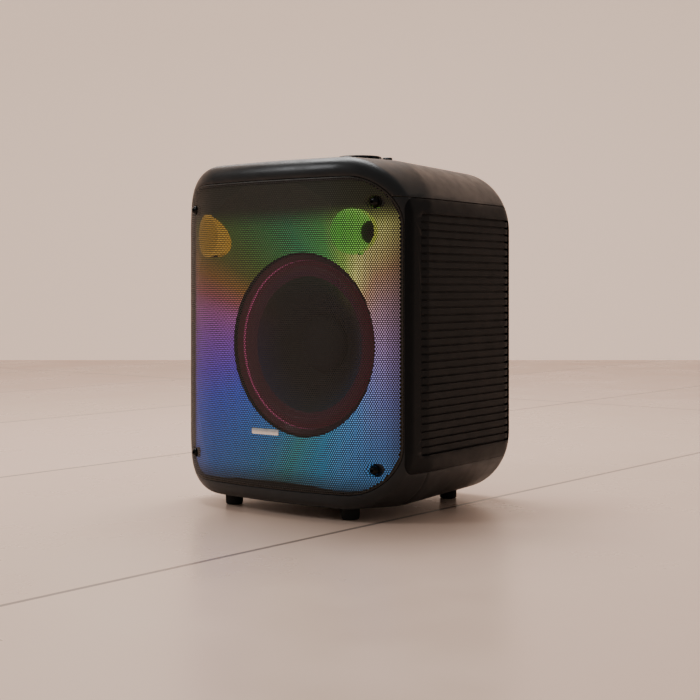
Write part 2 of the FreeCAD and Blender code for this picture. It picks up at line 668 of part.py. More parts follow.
def tweeter_diaphragm(side):
    """Dome, edge and coil former in one."""
    x = side * TWEETER_X
    y = -82.8
    base = -85.0
    dome = dome_points(11.2, 4.6, base, range(0, 90, 15)) + [(0, base - 4.6)]
    inside = [(0, base - 4.1)] + dome_points(10.6, 4.1, base, range(75, -1, -15))
    outline = [(15.8, y), (15.8, y - 0.5), (11.2, y - 0.5)] + dome + inside + [(10.6, y)]
    former = ring_y(x, TWEETER_Z, 8.0, 8.5, -88.0, -77.0)
    edge = ring_y(x, TWEETER_Z, 8.0, 11.0, y - 0.5, y)
    return revolve_y(x, TWEETER_Z, outline).multiFuse([former, edge])


def tweeter_magnet(side):
    x = side * TWEETER_X
    motor = cyl_y(x, TWEETER_Z, 16.6, -80.0, -58.0)
    return motor.cut([ring_y(x, TWEETER_Z, 7.5, 9.1, -81.0, -74.0)])


def tweeter_screws():
    screws = []
    for side in (-1, 1):
        for sx, sz in tweeter_screw_places():
            x, z = side * TWEETER_X + sx, TWEETER_Z + sz
            head = cyl_y(x, z, 2.5, BAFFLE_Y0 - 4.6, BAFFLE_Y0 - 3)
            shank = cyl_y(x, z, REAR_SCREW_R, BAFFLE_Y0 - 3, BAFFLE_Y0 + 6)
            screws.append(head.fuse(shank).cut(cyl_y(x, z, 1.0, BAFFLE_Y0 - 5, BAFFLE_Y0 - 4)))
    return group(screws)


# ---- inside -----------------------------------------------------------------------------------
def port_tube():
    y1 = REAR_Y - REAR_T
    tube = ring_y(0, PORT_Z, PORT_R, PORT_R + 3, PORT_Y0, y1)
    flange = ring_y(0, PORT_Z, PORT_R, PORT_R + 9, y1 - 3, y1)
    lip = ring_y(0, PORT_Z, PORT_R, PORT_R + 5, PORT_Y0, PORT_Y0 + 4)
    return tube.multiFuse([flange, lip])


CELL_R = 10.0
CELL_Z = 32.0


def battery_tray():
    tray = box(-66, 66, -38, 38, 5, CELL_Z).cut(box(-62, 62, -34, 34, CELL_Z - CELL_R, TALL))
    return tray.common(CAVITY)


def battery_pack():
    """Six round cells side by side in a shrink sleeve, laid flat in the tray."""
    cells = [cyl_y(2 * CELL_R * (i - 2.5), CELL_Z, CELL_R, -33.5, 33.5) for i in range(6)]
    sleeve = box(-61, 61, -33.7, 33.7, CELL_Z - CELL_R, CELL_Z + CELL_R - 2)
    return cells[0].multiFuse(cells[1:] + [sleeve])


def power_supply_board():
    """Mains board on the left wall, with its transformer, capacitors and coil."""
    board = box(-132, -130.4, -30, 70, 60, 150)
    feet = [Part.makeCylinder(3.0, 25.0, V(-157, y, z), V(1, 0, 0)).common(CAVITY)
            for y in (-24, 64) for z in (66, 144)]
    bits = [box(-130.4, -106, 0, 30, 84, 114), box(-130.4, -114, 44, 62, 70, 82)]
    bits += [Part.makeCylinder(7.0, 22.0, V(-130.4, y, 132), V(1, 0, 0)) for y in (-14, 4, 22)]
    return board.multiFuse(feet + bits)


def amplifier_board():
    board = box(-60, 60, 102.0, 103.6, 148, 214)
    bits = [box(-34, -14, 103.6, 108.0, 168, 194), box(14, 34, 103.6, 108.0, 168, 194)]
    bits += [cyl_y(x, 158, 4.0, 88.0, 102.0) for x in (-44, -22, 0, 22, 44)]
    bits += [ring_y(x, 200, 3.0, 7.0, 94.0, 102.0) for x in (-30, 30)]
    return board.multiFuse(bits)


def heat_sink():
    base = box(-52, 52, 108.0, 112.0, 152, 210)
    fins = [box(x - 0.9, x + 0.9, 112.0, REAR_Y - REAR_T, 156, 206) for x in range(-50, 51, 10)]
    return base.multiFuse(fins)


# ---- rear sockets -----------------------------------------------------------------------------
IO_FLOOR_Y0 = 119.0
IO_FLOOR_Y1 = 122.0
JACK_XS = (-56.0, -32.0)
IO_MID_Z = 108.0
AUX_PLACE = (-12.0, 118.0)
USB_PLACE = (-12.0, 98.0)
POT_XS = (12.0, 32.0)
SWITCH_PLACE = (56.0, 119.0)
INLET_PLACE = (56.0, 95.0)
JACK_BORE_R = 3.2
SOCKET_BACK_Y = 97.0        # the sockets stand on the board here
USB_HALF_W = 6.7
USB_HALF_H = 3.2
ROCKER_TILT = 8.0
ROCKER_PIVOT_Y = 121.0


def io_panel():
    """Recessed tray that carries the sockets."""
    tray = rounded_prism(IO_HALF_W, IO_Z0, IO_Z1, 6.0, IO_FLOOR_Y0, REAR_Y)
    flange = rounded_prism(IO_HALF_W + 5, IO_Z0 - 5, IO_Z1 + 5, 8.0, REAR_Y - REAR_T - 2.5, REAR_Y - REAR_T)
    tools = [rounded_prism(IO_HALF_W - IO_T, IO_Z0 + IO_T, IO_Z1 - IO_T, 4.0, IO_FLOOR_Y1, FAR)]
    tools += [cyl_y(x, IO_MID_Z, 5.2, 110, 125) for x in JACK_XS]
    tools += [cyl_y(x, IO_MID_Z, 3.6, 110, 125) for x in POT_XS]
    tools.append(cyl_y(AUX_PLACE[0], AUX_PLACE[1], 4.1, 110, 125))
    x, z = USB_PLACE
    tools.append(box(x - USB_HALF_W, x + USB_HALF_W, 110, 125, z - USB_HALF_H, z + USB_HALF_H))
    for x, z in (SWITCH_PLACE, INLET_PLACE):
        tools.append(box(x - 11.0, x + 11.0, 110, 125, z - 6.0, z + 6.0))
    return tray.fuse(flange).cut(tools)


def microphone_jacks():
    jacks = []
    for x in JACK_XS:
        shape = box(x - 8, x + 8, SOCKET_BACK_Y, IO_FLOOR_Y0, IO_MID_Z - 8, IO_MID_Z + 8)
        neck = cyl_y(x, IO_MID_Z, 5.2, IO_FLOOR_Y0, 126.5)
        nut = cyl_y(x, IO_MID_Z, 7.4, IO_FLOOR_Y1, 124.6)
        jacks.append(shape.multiFuse([neck, nut]).cut(cyl_y(x, IO_MID_Z, JACK_BORE_R, 99, 130)))
    return group(jacks)


def aux_socket():
    x, z = AUX_PLACE
    shape = box(x - 6, x + 6, SOCKET_BACK_Y, IO_FLOOR_Y0, z - 6, z + 6)
    neck = cyl_y(x, z, 4.1, IO_FLOOR_Y0, 124.0)
    return shape.fuse(neck).cut(cyl_y(x, z, 1.8, 105, 130))


def usb_socket():
    x, z = USB_PLACE
    shell = box(x - USB_HALF_W, x + USB_HALF_W, SOCKET_BACK_Y, 123, z - USB_HALF_H, z + USB_HALF_H)
    shell = shell.cut(box(x - 6.1, x + 6.1, 108, 130, z - 2.6, z + 2.6))
    tongue = box(x - 5.4, x + 5.4, 108, 121, z + 0.2, z + 1.6)
    return shell.fuse(tongue)


def rear_pots():
    """The two small potentiometers behind the rear knobs."""
    pots = []
    for x in POT_XS:
        case = box(x - 5.5, x + 5.5, SOCKET_BACK_Y, 112, IO_MID_Z - 5.5, IO_MID_Z + 5.5)
        bush = cyl_y(x, IO_MID_Z, 3.6, 112, 123)
        pots.append(case.fuse(bush).cut(cyl_y(x, IO_MID_Z, 2.0 + FIT, 105, 130)))
    return group(pots)


def rear_knob(x):
    knob = revolve_y(x, IO_MID_Z, [(0, 105.4), (2.0, 105.4), (2.0, 123.6), (6.6, 123.6),
                                   (6.2, 131.0), (5.4, 131.8), (0, 131.8)])
    mark = box(x - 0.5, x + 0.5, 131.0, 135.0, IO_MID_Z + 1.0, IO_MID_Z + 7)
    grips = [cyl_y(x + gx, IO_MID_Z + gz, 0.9, 124.6, 135) for gx, gz in ring_places(12, 7.0, 15.0)]
    return knob.cut([mark] + grips)


def switch_frame():
    x, z = SWITCH_PLACE
    frame = box(x - 11.0, x + 11.0, 112, IO_FLOOR_Y1, z - 6.0, z + 6.0)
    rim = box(x - 12.0, x + 12.0, IO_FLOOR_Y1, 124.0, z - 7.0, z + 7.0)
    well = box(x - 9.7, x + 9.7, 115.5, 130, z - 4.8, z + 4.8)
    pivot = cyl_z(x, ROCKER_PIVOT_Y, 1.0 + FIT, z - 5.8, z + 5.8)
    return frame.fuse(rim).cut([well, pivot])


def switch_rocker():
    x, z = SWITCH_PLACE
    pts = [V(px, py, -4.5) for px, py in [(-8.6, 3.2), (0, 2.0), (8.6, 3.2), (7.6, -3.0), (-7.6, -3.0)]]
    rocker = Part.Face(Part.makePolygon(pts + [pts[0]])).extrude(V(0, 0, 9.0))
    rocker = rocker.fuse(cyl_z(0, 0, 1.0, -5.7, 5.7))
    rocker.rotate(V(0, 0, 0), V(0, 0, 1), -ROCKER_TILT)
    rocker.translate(V(x, ROCKER_PIVOT_Y, z))
    return rocker


def power_inlet():
    x, z = INLET_PLACE
    block = box(x - 11.0, x + 11.0, 100, IO_FLOOR_Y1, z - 6.0, z + 6.0)
    rim = box(x - 12.0, x + 12.0, IO_FLOOR_Y1, 124.0, z - 7.0, z + 7.0)
    wells = [cyl_y(x + s * 3.4, z, 3.7, 108, 130) for s in (-1, 1)]
    wells.append(box(x - 3.4, x + 3.4, 108, 130, z - 2.6, z + 2.6))
    pins = [cyl_y(x + s * 4.3, z, 1.2, 108, 120) for s in (-1, 1)]
    return block.fuse(rim).cut(wells).multiFuse(pins)


def io_board():
    return box(-70, 70, SOCKET_BACK_Y - 1.6, SOCKET_BACK_Y, 84, 132)


# ---- top controls -----------------------------------------------------------------------------
BUTTON_NAMES = ("power", "bluetooth", "light", "bass", "play")
BOARD_Z0 = 359.0
BOARD_Z1 = 360.6
SWITCH_Z1 = 364.6
SHAFT_Z0 = 362.6
BUSH_Z0 = 368.0
PRESS_GAP = 1.4           # room under each button, a little more than its stroke
BUTTON_ANGLE = 0.0


def button_places():
    return [(x, y + DECK_Y) for x, y in ring_places(len(BUTTON_NAMES), BUTTON_RING_R, BUTTON_ANGLE)]


def control_deck():
    """Low round island on the top that holds the knob and the buttons."""
    top = DECK_TOP
    low, inner, flange = DECK_BOTTOM, DECK_R - DECK_T, DECK_R + 5.3
    shell = revolve_z(0, DECK_Y, [(0, top - DECK_T), (inner, top - DECK_T), (inner, low), (flange, low),
                                  (flange, low + 2.9), (DECK_R, low + 2.9), (DECK_R, top - 7.0),
                                  (DECK_R - 0.7, top - 3.4), (DECK_R - 2.0, top - 1.2), (DECK_R - 4.4, top),
                                  (KNOB_R + 2.2, top), (KNOB_R + 1.6, top - 0.8), (0, top - 0.8)])
    pillars = [cyl_z(x, y + DECK_Y, 2.5, BOARD_Z1, top - DECK_T) for x, y in ring_places(4, 21.0, 45.0)]
    tools = [cyl_z(x, y, BUTTON_R + 0.3, BUSH_Z0, TALL) for x, y in button_places()]
    tools.append(cyl_z(0, DECK_Y, 5.0, BUSH_Z0, TALL))
    return shell.multiFuse(pillars).cut(tools)


def control_board():
    board = cyl_z(0, DECK_Y, 45.0, BOARD_Z0, BOARD_Z1)
    switches = [box(x - 3, x + 3, y - 3, y + 3, BOARD_Z1, SWITCH_Z1) for x, y in button_places()]
    return board.multiFuse(switches)


def encoder():
    case = box(-6.5, 6.5, DECK_Y - 6.5, DECK_Y + 6.5, BOARD_Z1, BUSH_Z0)
    bush = cyl_z(0, DECK_Y, 4.6, BUSH_Z0, DECK_TOP - 1)
    return case.fuse(bush).cut(cyl_z(0, DECK_Y, SHAFT_R + FIT, SHAFT_Z0 - 0.6, TALL))


def encoder_shaft():
    return cyl_z(0, DECK_Y, SHAFT_R, SHAFT_Z0, KNOB_Z1 - 3)


def volume_knob():
    """Large knob with finger scallops round its side."""
    z0, z1, r = KNOB_Z0, KNOB_Z1, KNOB_R
    knob = revolve_z(0, DECK_Y, [(SHAFT_R, z0 + 1), (8.0, z0 + 1), (8.0, z0), (10.0, z0), (10.0, z0 + 3),
                                 (r - 4, z0 + 3), (r - 4, z0), (r, z0), (r, z1 - 1.4), (r - 0.5, z1 - 0.5),
                                 (r - 1.8, z1), (r - 6.0, z1 - 0.4), (0, z1 - 1.2), (0, z1 - 3),
                                 (SHAFT_R, z1 - 3)])
    scallops = [cyl_z(x, y + DECK_Y, 4.2, z0 + 0.8, z1 - 1.5) for x, y in ring_places(14, r + 1.6)]
    return knob.cut(scallops)


def top_button(place):
    x, y = place
    foot = SWITCH_Z1 + PRESS_GAP
    ledge = DECK_TOP - DECK_T - PRESS_GAP
    return revolve_z(x, y, [(0, foot), (1.8, foot), (1.8, ledge - 1.4), (7.0, ledge - 1.4), (7.0, ledge),
                            (BUTTON_R, ledge), (BUTTON_R, BUTTON_TOP - 1.0),
                            (BUTTON_R - 0.9, BUTTON_TOP - 0.2), (3.0, BUTTON_TOP), (0, BUTTON_TOP - 0.1)])


# ---- output -----------------------------------------------------------------------------------
def all_parts():
    panel = side_panel_right()
    parts = {
        "cabinet_shell": cabinet_shell(), "front_bezel": front_bezel(), "top_cover": top_cover(),
        "side_panel_right": panel, "side_panel_left": mirrored(panel), "rear_panel": rear_panel(),
        "rear_screws": rear_screws(), "rubber_feet": rubber_feet(), "foot_screws": foot_screws(),
        "grille": grille(), "grille_screws": grille_screws(), "badge": badge(),
        "front_baffle": front_baffle(), "light_diffuser": light_diffuser(), "led_board": led_board(),
        "woofer_basket": woofer_basket(), "woofer_screws": woofer_screws(),
        "woofer_trim_ring": woofer_trim_ring(), "woofer_surround": woofer_surround(),
        "woofer_spider": woofer_spider(), "woofer_cone": woofer_cone(), "woofer_dust_cap": woofer_dust_cap(),
        "voice_coil": voice_coil(), "woofer_top_plate": woofer_top_plate(), "woofer_magnet": woofer_magnet(),
        "woofer_yoke": woofer_yoke(), "tweeter_screws": tweeter_screws(), "port_tube": port_tube(),
        "battery_tray": battery_tray(), "battery_pack": battery_pack(),
        "power_supply_board": power_supply_board(), "amplifier_board": amplifier_board(),
        "heat_sink": heat_sink(), "io_panel": io_panel(), "io_board": io_board(),
        "microphone_jacks": microphone_jacks(), "aux_socket": aux_socket(), "usb_socket": usb_socket(),
        "rear_pots": rear_pots(), "mic_volume_knob": rear_knob(POT_XS[0]), "echo_knob": rear_knob(POT_XS[1]),
        "switch_frame": switch_frame(), "switch_rocker": switch_rocker(), "power_inlet": power_inlet(),
        "control_deck": control_deck(), "control_board": control_board(), "encoder": encoder(),
        "encoder_shaft": encoder_shaft(), "volume_knob": volume_knob(),
    }
    for side, word in ((-1, "left"), (1, "right")):
        parts["tweeter_housing_" + word] = tweeter_housing(side)
        parts["tweeter_diaphragm_" + word] = tweeter_diaphragm(side)
        parts["tweeter_magnet_" + word] = tweeter_magnet(side)
    for word, place in zip(BUTTON_NAMES, button_places()):
        parts["button_" + word] = top_button(place)
    return parts


os.makedirs("parts", exist_ok=True)
for name, shape in all_parts().items():
    shape.exportStep("parts/" + name + ".step")
    print(name, len(shape.Solids), round(shape.Volume), shape.isValid())
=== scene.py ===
import json
import math

import bpy
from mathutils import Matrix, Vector


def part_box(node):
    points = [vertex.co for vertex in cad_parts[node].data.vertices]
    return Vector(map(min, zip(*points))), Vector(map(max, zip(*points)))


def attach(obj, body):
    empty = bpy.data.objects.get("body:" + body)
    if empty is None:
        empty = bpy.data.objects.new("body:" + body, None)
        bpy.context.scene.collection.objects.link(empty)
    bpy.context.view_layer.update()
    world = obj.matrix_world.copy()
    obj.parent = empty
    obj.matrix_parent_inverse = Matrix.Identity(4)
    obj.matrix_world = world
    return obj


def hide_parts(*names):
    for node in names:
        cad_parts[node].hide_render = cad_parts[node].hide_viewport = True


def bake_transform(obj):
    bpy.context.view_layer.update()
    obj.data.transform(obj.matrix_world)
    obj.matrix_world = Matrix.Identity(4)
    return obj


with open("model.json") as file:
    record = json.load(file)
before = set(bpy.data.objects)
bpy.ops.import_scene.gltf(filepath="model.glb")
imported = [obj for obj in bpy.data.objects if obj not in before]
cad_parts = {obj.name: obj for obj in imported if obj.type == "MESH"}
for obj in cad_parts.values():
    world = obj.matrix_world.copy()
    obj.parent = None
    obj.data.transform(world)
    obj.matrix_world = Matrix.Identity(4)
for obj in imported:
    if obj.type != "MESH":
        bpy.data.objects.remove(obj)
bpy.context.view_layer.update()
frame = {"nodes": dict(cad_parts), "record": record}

NODES = frame["nodes"]

# ---- places from the frame, and the grille's sizes, in metres ------------------------------------
GRILLE_LO, GRILLE_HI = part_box("grille")
WOOFER_LO, WOOFER_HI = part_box("woofer_surround")
SCREWS_LO, SCREWS_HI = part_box("grille_screws")
WOOFER_Z = (WOOFER_LO[2] + WOOFER_HI[2]) / 2

MM = 0.001
GRILLE_HALF_W = GRILLE_HI[0]
GRILLE_Z0 = GRILLE_LO[2]
GRILLE_Z1 = GRILLE_HI[2]
GRILLE_R = 50 * MM              # corner radius of the grille
CROWN_Y = GRILLE_LO[1]          # foremost line of the grille
BARREL_R1 = 500 * MM            # the barrel's flat middle arc
BARREL_X1 = 80 * MM             # where the middle arc meets the side arcs
BARREL_R2 = 128 * MM            # the barrel's side arcs
HOLE_PITCH = 2.44 * MM
HOLE_SIZE = 0.58                # hole's width as a share of the pitch
ROLL_R = 1.3 * MM               # rolled edge of the grille
FLANGE_DEPTH = 9 * MM
CELL_MARGIN = 1.3               # how far past the outline cells are made, in pitches
OPEN_MARGIN = 0.45              # from how far inside the outline the holes are open, in pitches
DIMPLE_R = 8.0 * MM
DIMPLE_DEPTH = 3.4 * MM
DIMPLE_SQUEEZE = 0.9            # below 1, so that a dimple is a little wider than it is high
DIMPLE_FLAT = 0.45              # flat middle of a dimple, as a share of its radius
SCREW_HEAD_R = 4.75 * MM
SCREW_X = (SCREWS_HI[0] - SCREWS_LO[0]) / 2 - SCREW_HEAD_R
SCREW_ZS = (SCREWS_LO[2] + SCREW_HEAD_R, SCREWS_HI[2] - SCREW_HEAD_R)


# ---- material helpers ---------------------------------------------------------------------------
NOISE_LOW, NOISE_HIGH = 0.3, 0.7        # most of a noise texture lies between these


class Nodes:
    """A small wrapper that adds shader nodes and links them."""

    def __init__(self, name):
        self.material = bpy.data.materials.new(name)
        self.material.use_nodes = True
        self.tree = self.material.node_tree
        self.shader = self.tree.nodes["Principled BSDF"]

    def add(self, kind, **values):
        node = self.tree.nodes.new(kind)
        for key, value in values.items():
            if key in node.inputs:
                node.inputs[key].default_value = value
            else:
                setattr(node, key, value)
        return node

    def link(self, out, into):
        self.tree.links.new(out, into)

    def coords(self):
        return self.add("ShaderNodeTexCoord").outputs["Object"]

    def noise(self, scale, detail=3.0, roughness=0.55, stretch=None):
        noise = self.add("ShaderNodeTexNoise", Scale=scale, Detail=detail, Roughness=roughness)
        source = self.coords()
        if stretch:
            mapping = self.add("ShaderNodeMapping")
            mapping.inputs["Scale"].default_value = stretch
            self.link(source, mapping.inputs["Vector"])
            source = mapping.outputs["Vector"]
        self.link(source, noise.inputs["Vector"])
        return noise.outputs["Fac"]

    def ramp(self, fac, stops):
        ramp = self.add("ShaderNodeValToRGB")
        elements = ramp.color_ramp.elements
        while len(elements) < len(stops):
            elements.new(0.5)
        for element, (place, colour) in zip(elements, stops):
            element.position = place
            element.color = (*colour, 1.0)
        self.link(fac, ramp.inputs["Fac"])
        return ramp.outputs["Color"]

    def span(self, fac, low, high, from_low=0.0, from_high=1.0):
        node = self.add("ShaderNodeMapRange")
        node.inputs["From Min"].default_value = from_low
        node.inputs["From Max"].default_value = from_high
        node.inputs["To Min"].default_value = low
        node.inputs["To Max"].default_value = high
        self.link(fac, node.inputs["Value"])
        return node.outputs["Result"]

    def tone(self, fac, colour, dark, light):
        """Let the base colour vary between two shades of one colour."""
        shades = [(NOISE_LOW, scaled(colour, dark)), (NOISE_HIGH, scaled(colour, light))]
        self.link(self.ramp(fac, shades), self.shader.inputs["Base Color"])

    def gloss(self, fac, low, high):
        """Let the roughness vary between two values."""
        self.link(self.span(fac, low, high, NOISE_LOW, NOISE_HIGH), self.shader.inputs["Roughness"])

    def bump(self, height, strength, distance):
        node = self.add("ShaderNodeBump", Strength=strength, Distance=distance)
        self.link(height, node.inputs["Height"])
        if self.shader.inputs["Normal"].is_linked:
            earlier = self.shader.inputs["Normal"].links[0].from_socket
            self.link(earlier, node.inputs["Normal"])
        self.link(node.outputs["Normal"], self.shader.inputs["Normal"])


def moulded(name, colour, roughness, grain_scale=2600.0, grain=0.25, coat=0.0, shine=0.4):
    """Moulded plastic: faint cloudy tone, a fine spark-eroded grain, and varying gloss."""
    n = Nodes(name)
    n.tone(n.noise(9.0, 4.0), colour, 0.86, 1.16)
    n.gloss(n.noise(60.0, 5.0), roughness - 0.07, roughness + 0.07)
    n.bump(n.noise(grain_scale, 2.0), grain, 0.00006)
    n.shader.inputs["Specular IOR Level"].default_value = shine
    n.shader.inputs["Coat Weight"].default_value = coat
    n.shader.inputs["Coat Roughness"].default_value = 0.25
    return n.material


def coated_metal(name, colour, roughness, metallic=0.35):
    """Powder-coated sheet metal: orange-peel bump over a dark coat."""
    n = Nodes(name)
    n.tone(n.noise(700.0, 3.0), colour, 0.8, 1.25)
    n.gloss(n.noise(240.0, 4.0), roughness - 0.08, roughness + 0.08)
    n.shader.inputs["Metallic"].default_value = metallic
    n.bump(n.noise(3200.0, 2.0), 0.2, 0.00004)
    return n.material


def brushed(name, colour, roughness, stretch=(1.0, 60.0, 60.0)):
    """Bare metal with fine parallel scratches."""
    n = Nodes(name)
    lines = n.noise(90.0, 6.0, 0.7, stretch)
    n.tone(lines, colour, 0.8, 1.12)
    n.gloss(lines, roughness - 0.08, roughness + 0.12)
    n.shader.inputs["Metallic"].default_value = 1.0
    n.bump(lines, 0.15, 0.00003)
    return n.material


def rubber(name, colour, roughness):
    """Dull rubber with a mottled tone and a rough skin."""
    n = Nodes(name)
    n.tone(n.noise(120.0, 5.0), colour, 0.75, 1.3)
    n.gloss(n.noise(300.0, 3.0), roughness - 0.08, roughness + 0.08)
    n.shader.inputs["Specular IOR Level"].default_value = 0.3
    n.bump(n.noise(1500.0, 4.0), 0.3, 0.00008)
    return n.material


def circuit(name):
    """Green solder mask with tracks and pads."""
    n = Nodes(name)
    cells = n.add("ShaderNodeTexVoronoi", Scale=260.0)
    cells.feature = "DISTANCE_TO_EDGE"
    n.link(n.coords(), cells.inputs["Vector"])
    track = n.ramp(cells.outputs["Distance"], [(0.02, (0.05, 0.22, 0.09)), (0.06, (0.012, 0.09, 0.035))])
    n.link(track, n.shader.inputs["Base Color"])
    n.gloss(n.noise(200.0), 0.28, 0.42)
    n.bump(cells.outputs["Distance"], 0.15, 0.00005)
    return n.material


# ---- the coloured glow --------------------------------------------------------------------------
# Colours run clockwise round the woofer, seen from the front: (share of a turn from the bottom, colour).
RAINBOW = [(0.00, (0.02, 0.20, 0.22)), (0.05, (0.02, 0.15, 0.33)), (0.11, (0.03, 0.12, 0.43)),
           (0.17, (0.05, 0.08, 0.50)), (0.21, (0.12, 0.05, 0.46)), (0.255, (0.23, 0.06, 0.38)),
           (0.295, (0.33, 0.08, 0.25)), (0.320, (0.29, 0.07, 0.08)), (0.345, (0.24, 0.10, 0.02)),
           (0.375, (0.09, 0.09, 0.012)), (0.41, (0.05, 0.11, 0.015)), (0.46, (0.025, 0.15, 0.035)),
           (0.50, (0.015, 0.17, 0.06)), (0.56, (0.05, 0.27, 0.05)), (0.60, (0.26, 0.44, 0.06)),
           (0.63, (0.74, 0.68, 0.20)), (0.665, (0.52, 0.28, 0.15)), (0.70, (0.44, 0.24, 0.30)),
           (0.75, (0.36, 0.22, 0.46)), (0.81, (0.19, 0.21, 0.55)), (0.87, (0.06, 0.24, 0.56)),
           (0.94, (0.02, 0.22, 0.40)), (1.00, (0.02, 0.20, 0.22))]
GLOW_FADE = 22 * MM             # width of the darker margin of the lit area
TOP_FADE = (26 * MM, 52 * MM)   # the unlit band below the grille's top edge, and where the light is full
LEFT_SHARE, RIGHT_SHARE, LOW_SHARE, TOP_SHARE = 0.12, 0.45, 0.25, 0.04     # light left at each edge
NEAR_LIGHT, NEAR_R = 1.25, 0.10     # light close to the woofer, and up to what radius
FAR_LIGHT, FAR_R = 0.8, 0.17        # light far from it, and from what radius
HORN_REACH = 0.125                  # how far to each side the horns' colours go
HORN_COLOURS = [(0.0, (0.30, 0.16, 0.02)), (0.18, (0.55, 0.28, 0.03)), (0.5, (0.20, 0.20, 0.03)),
                (0.82, (0.10, 0.46, 0.05)), (0.93, (0.26, 0.62, 0.08)), (1.0, (0.50, 0.48, 0.06))]
RING_GLOW = [(0.70, (0.42, 0.06, 0.16)), (0.73, (0.06, 0.008, 0.014)), (0.93, (0.05, 0.007, 0.012)),
             (0.97, (0.004, 0.003, 0.003))]
# painted coloured light on the rubber surround: the LEDs' glow falling on it, given as emission
ROLL_PAINTED_GLOW = [(0.15, (0.050, 0.010, 0.020)), (0.65, (0.065, 0.008, 0.015))]
GLOW_RADII = (0.070, 0.100)         # radii that the ring's light and the surround's painted light run between
RIGHT_FADE = (-0.055, 0.03)         # from where to where the ring's light weakens to the right
CONE_PAINTED_LIGHT = 0.07                   # painted reflection of the LEDs' colours on the cone's rim, given as emission
CONE_RADII = (0.045, 0.085)         # radii between which it grows from nothing


def scaled(colour, factor):
    return tuple(min(1.0, c * factor) for c in colour)


def place_on_front(n):
    """The shader's X and Z, as seen from the front."""
    split = n.add("ShaderNodeSeparateXYZ")
    n.link(n.coords(), split.inputs["Vector"])
    return split.outputs["X"], split.outputs["Z"]


def maths(n, kind, first, second):
    """A math node on two values, each a number or a socket."""
    node = n.add("ShaderNodeMath", operation=kind)
    for socket, value in zip(node.inputs, (first, second)):
        if isinstance(value, (int, float)):
            socket.default_value = value
        else:
            n.link(value, socket)
    return node.outputs["Value"]


def smooth(n, fac, low, high, from_low, from_high):
    """The same as span, with soft ends."""
    out = n.span(fac, low, high, from_low, from_high)
    out.node.interpolation_type = "SMOOTHSTEP"
    return out


def rainbow(n):
    """Colour by the direction from the woofer's axis."""
    x, z = place_on_front(n)
    turn = maths(n, "ARCTAN2", x, maths(n, "SUBTRACT", z, WOOFER_Z))
    return n.ramp(n.span(turn, 0.0, 1.0, -math.pi, math.pi), RAINBOW)


def woofer_radius(n):
    """Distance from the woofer's axis."""
    x, z = place_on_front(n)
    up = maths(n, "SUBTRACT", z, WOOFER_Z)
    squares = maths(n, "ADD", maths(n, "MULTIPLY", x, x), maths(n, "MULTIPLY", up, up))
    return maths(n, "SQRT", squares, 0.0)


def lit_area(n):
    """How strongly the dish is lit: full in the middle, fading to the edges and dark at the top."""
    x, z = place_on_front(n)
    left = smooth(n, x, LEFT_SHARE, 1.0, -GRILLE_HALF_W, GLOW_FADE - GRILLE_HALF_W)
    right = smooth(n, x, RIGHT_SHARE, 1.0, GRILLE_HALF_W, GRILLE_HALF_W - GLOW_FADE)
    low = smooth(n, z, LOW_SHARE, 1.0, GRILLE_Z0, GRILLE_Z0 + GLOW_FADE)
    high = smooth(n, z, TOP_SHARE, 1.0, GRILLE_Z1 - TOP_FADE[0], GRILLE_Z1 - TOP_FADE[1])
    near = n.span(woofer_radius(n), NEAR_LIGHT, FAR_LIGHT, NEAR_R, FAR_R)
    sides = maths(n, "MULTIPLY", left, right)
    return maths(n, "MULTIPLY", maths(n, "MULTIPLY", sides, near), maths(n, "MULTIPLY", low, high))


def milky(name, colour, strength):
    """Milky plastic, lit from behind by the ring of coloured lights."""
    n = Nodes(name)
    n.tone(n.noise(40.0, 4.0), colour, 0.85, 1.0)
    n.gloss(n.noise(90.0), 0.45, 0.6)
    n.bump(n.noise(900.0, 3.0), 0.1, 0.00005)
    n.link(rainbow(n), n.shader.inputs["Emission Color"])
    n.link(maths(n, "MULTIPLY", lit_area(n), strength), n.shader.inputs["Emission Strength"])
    return n.material


def lit_horn(name, colour, strength):
    """Milky tweeter horn: orange light on the left, green turning yellow on the right."""
    n = Nodes(name)
    n.tone(n.noise(60.0, 4.0), colour, 0.85, 1.0)
    n.gloss(n.noise(90.0), 0.3, 0.45)
    n.bump(n.noise(900.0, 3.0), 0.1, 0.00005)
    x, _ = place_on_front(n)
    across = n.span(x, 0.0, 1.0, -HORN_REACH, HORN_REACH)
    n.link(n.ramp(across, HORN_COLOURS), n.shader.inputs["Emission Color"])
    n.shader.inputs["Emission Strength"].default_value = strength
    return n.material


def tinted_glow(name, colour, stops, rings=0.0, right_share=1.0):
    """Dark part with coloured light in it by distance from the woofer's axis; on the rubber surround this
    light is painted, as emission.

    rings adds concentric ridges, and right_share is how much light is left on the right side.
    """
    n = Nodes(name)
    n.tone(n.noise(200.0, 4.0), colour, 0.8, 1.2)
    n.gloss(n.noise(80.0), 0.35, 0.55)
    reach = n.span(woofer_radius(n), 0.0, 1.0, *GLOW_RADII)
    n.link(n.ramp(reach, stops), n.shader.inputs["Emission Color"])
    x, _ = place_on_front(n)
    n.link(smooth(n, x, 1.0, right_share, *RIGHT_FADE), n.shader.inputs["Emission Strength"])
    if rings:
        n.bump(ring_waves(n, rings), 0.4, 0.0002)
    return n.material


def ring_waves(n, scale):
    """A wave pattern in rings about the woofer's axis."""
    mapping = n.add("ShaderNodeMapping")
    mapping.inputs["Location"].default_value = (0.0, 0.0, -WOOFER_Z)
    mapping.inputs["Scale"].default_value = (1.0, 0.0, 1.0)
    n.link(n.coords(), mapping.inputs["Vector"])
    wave = n.add("ShaderNodeTexWave", Scale=scale)
    wave.wave_type = "RINGS"
    wave.rings_direction = "SPHERICAL"
    n.link(mapping.outputs["Vector"], wave.inputs["Vector"])
    return wave.outputs["Fac"]


